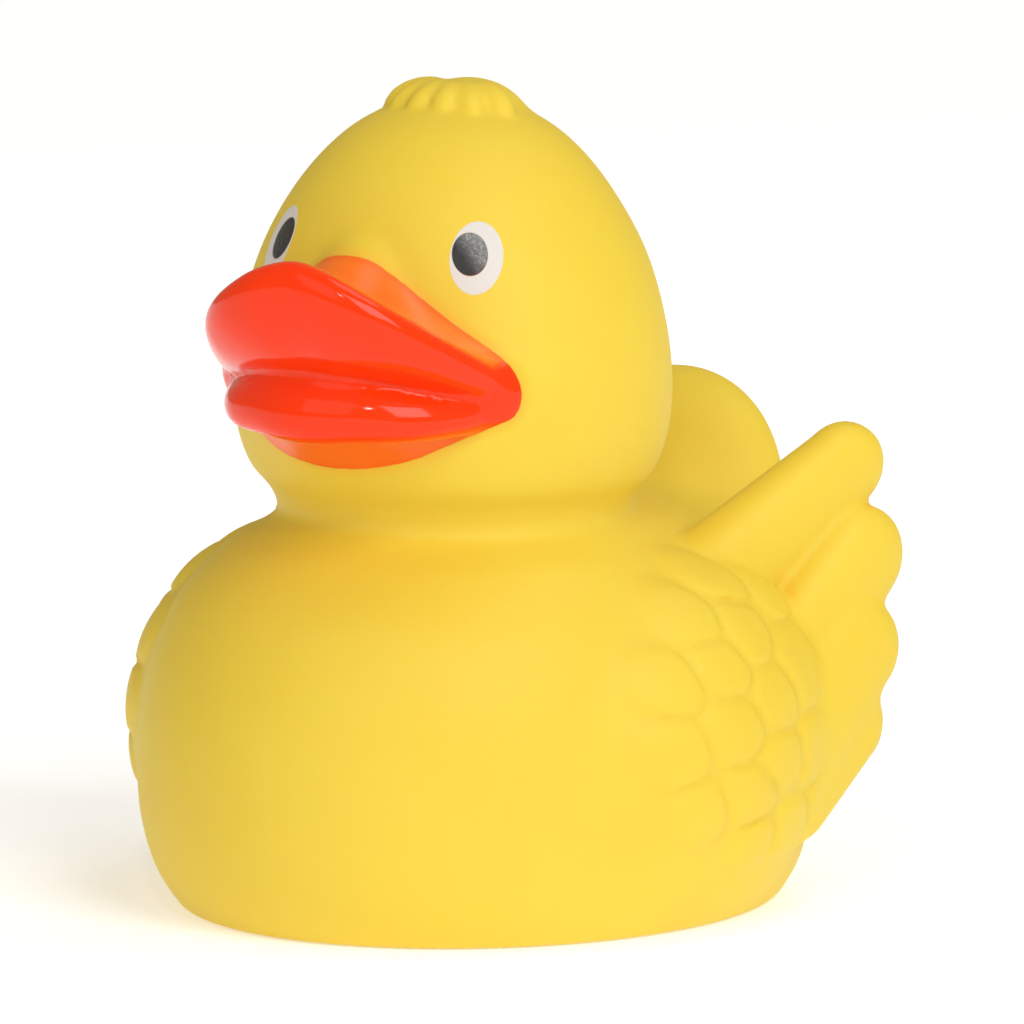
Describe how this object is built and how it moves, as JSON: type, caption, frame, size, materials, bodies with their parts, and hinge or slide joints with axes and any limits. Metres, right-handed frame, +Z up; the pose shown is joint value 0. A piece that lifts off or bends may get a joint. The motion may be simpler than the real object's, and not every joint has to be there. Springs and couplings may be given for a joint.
{
  "type": "rubber duck",
  "caption": "Hollow soft vinyl bath duck with moulded wings, a wide painted bill, painted eyes and a squeaker in its flat base",
  "frame": {"origin": "on the floor, under the middle of the duck's box, in the plane of the flat foot ring", "axes": "+Z up, the bill points to -Y and the tail to +Y, +X is the duck's left"},
  "size_m": [0.0684, 0.0794, 0.0792],
  "materials": {
    "vinyl": "satin soft vinyl, bill in gloss orange-red paint, eyes in white and black paint",
    "squeaker_plastic": "moulded, slightly shiny",
    "reed_metal": "thin rolled sheet"
  },
  "bodies": {
    "root": {"duck_body": "vinyl", "squeaker_cup": "squeaker_plastic", "squeaker_reed_plate": "reed_metal", "squeaker_ring": "squeaker_plastic"}
  },
  "joints": []
}
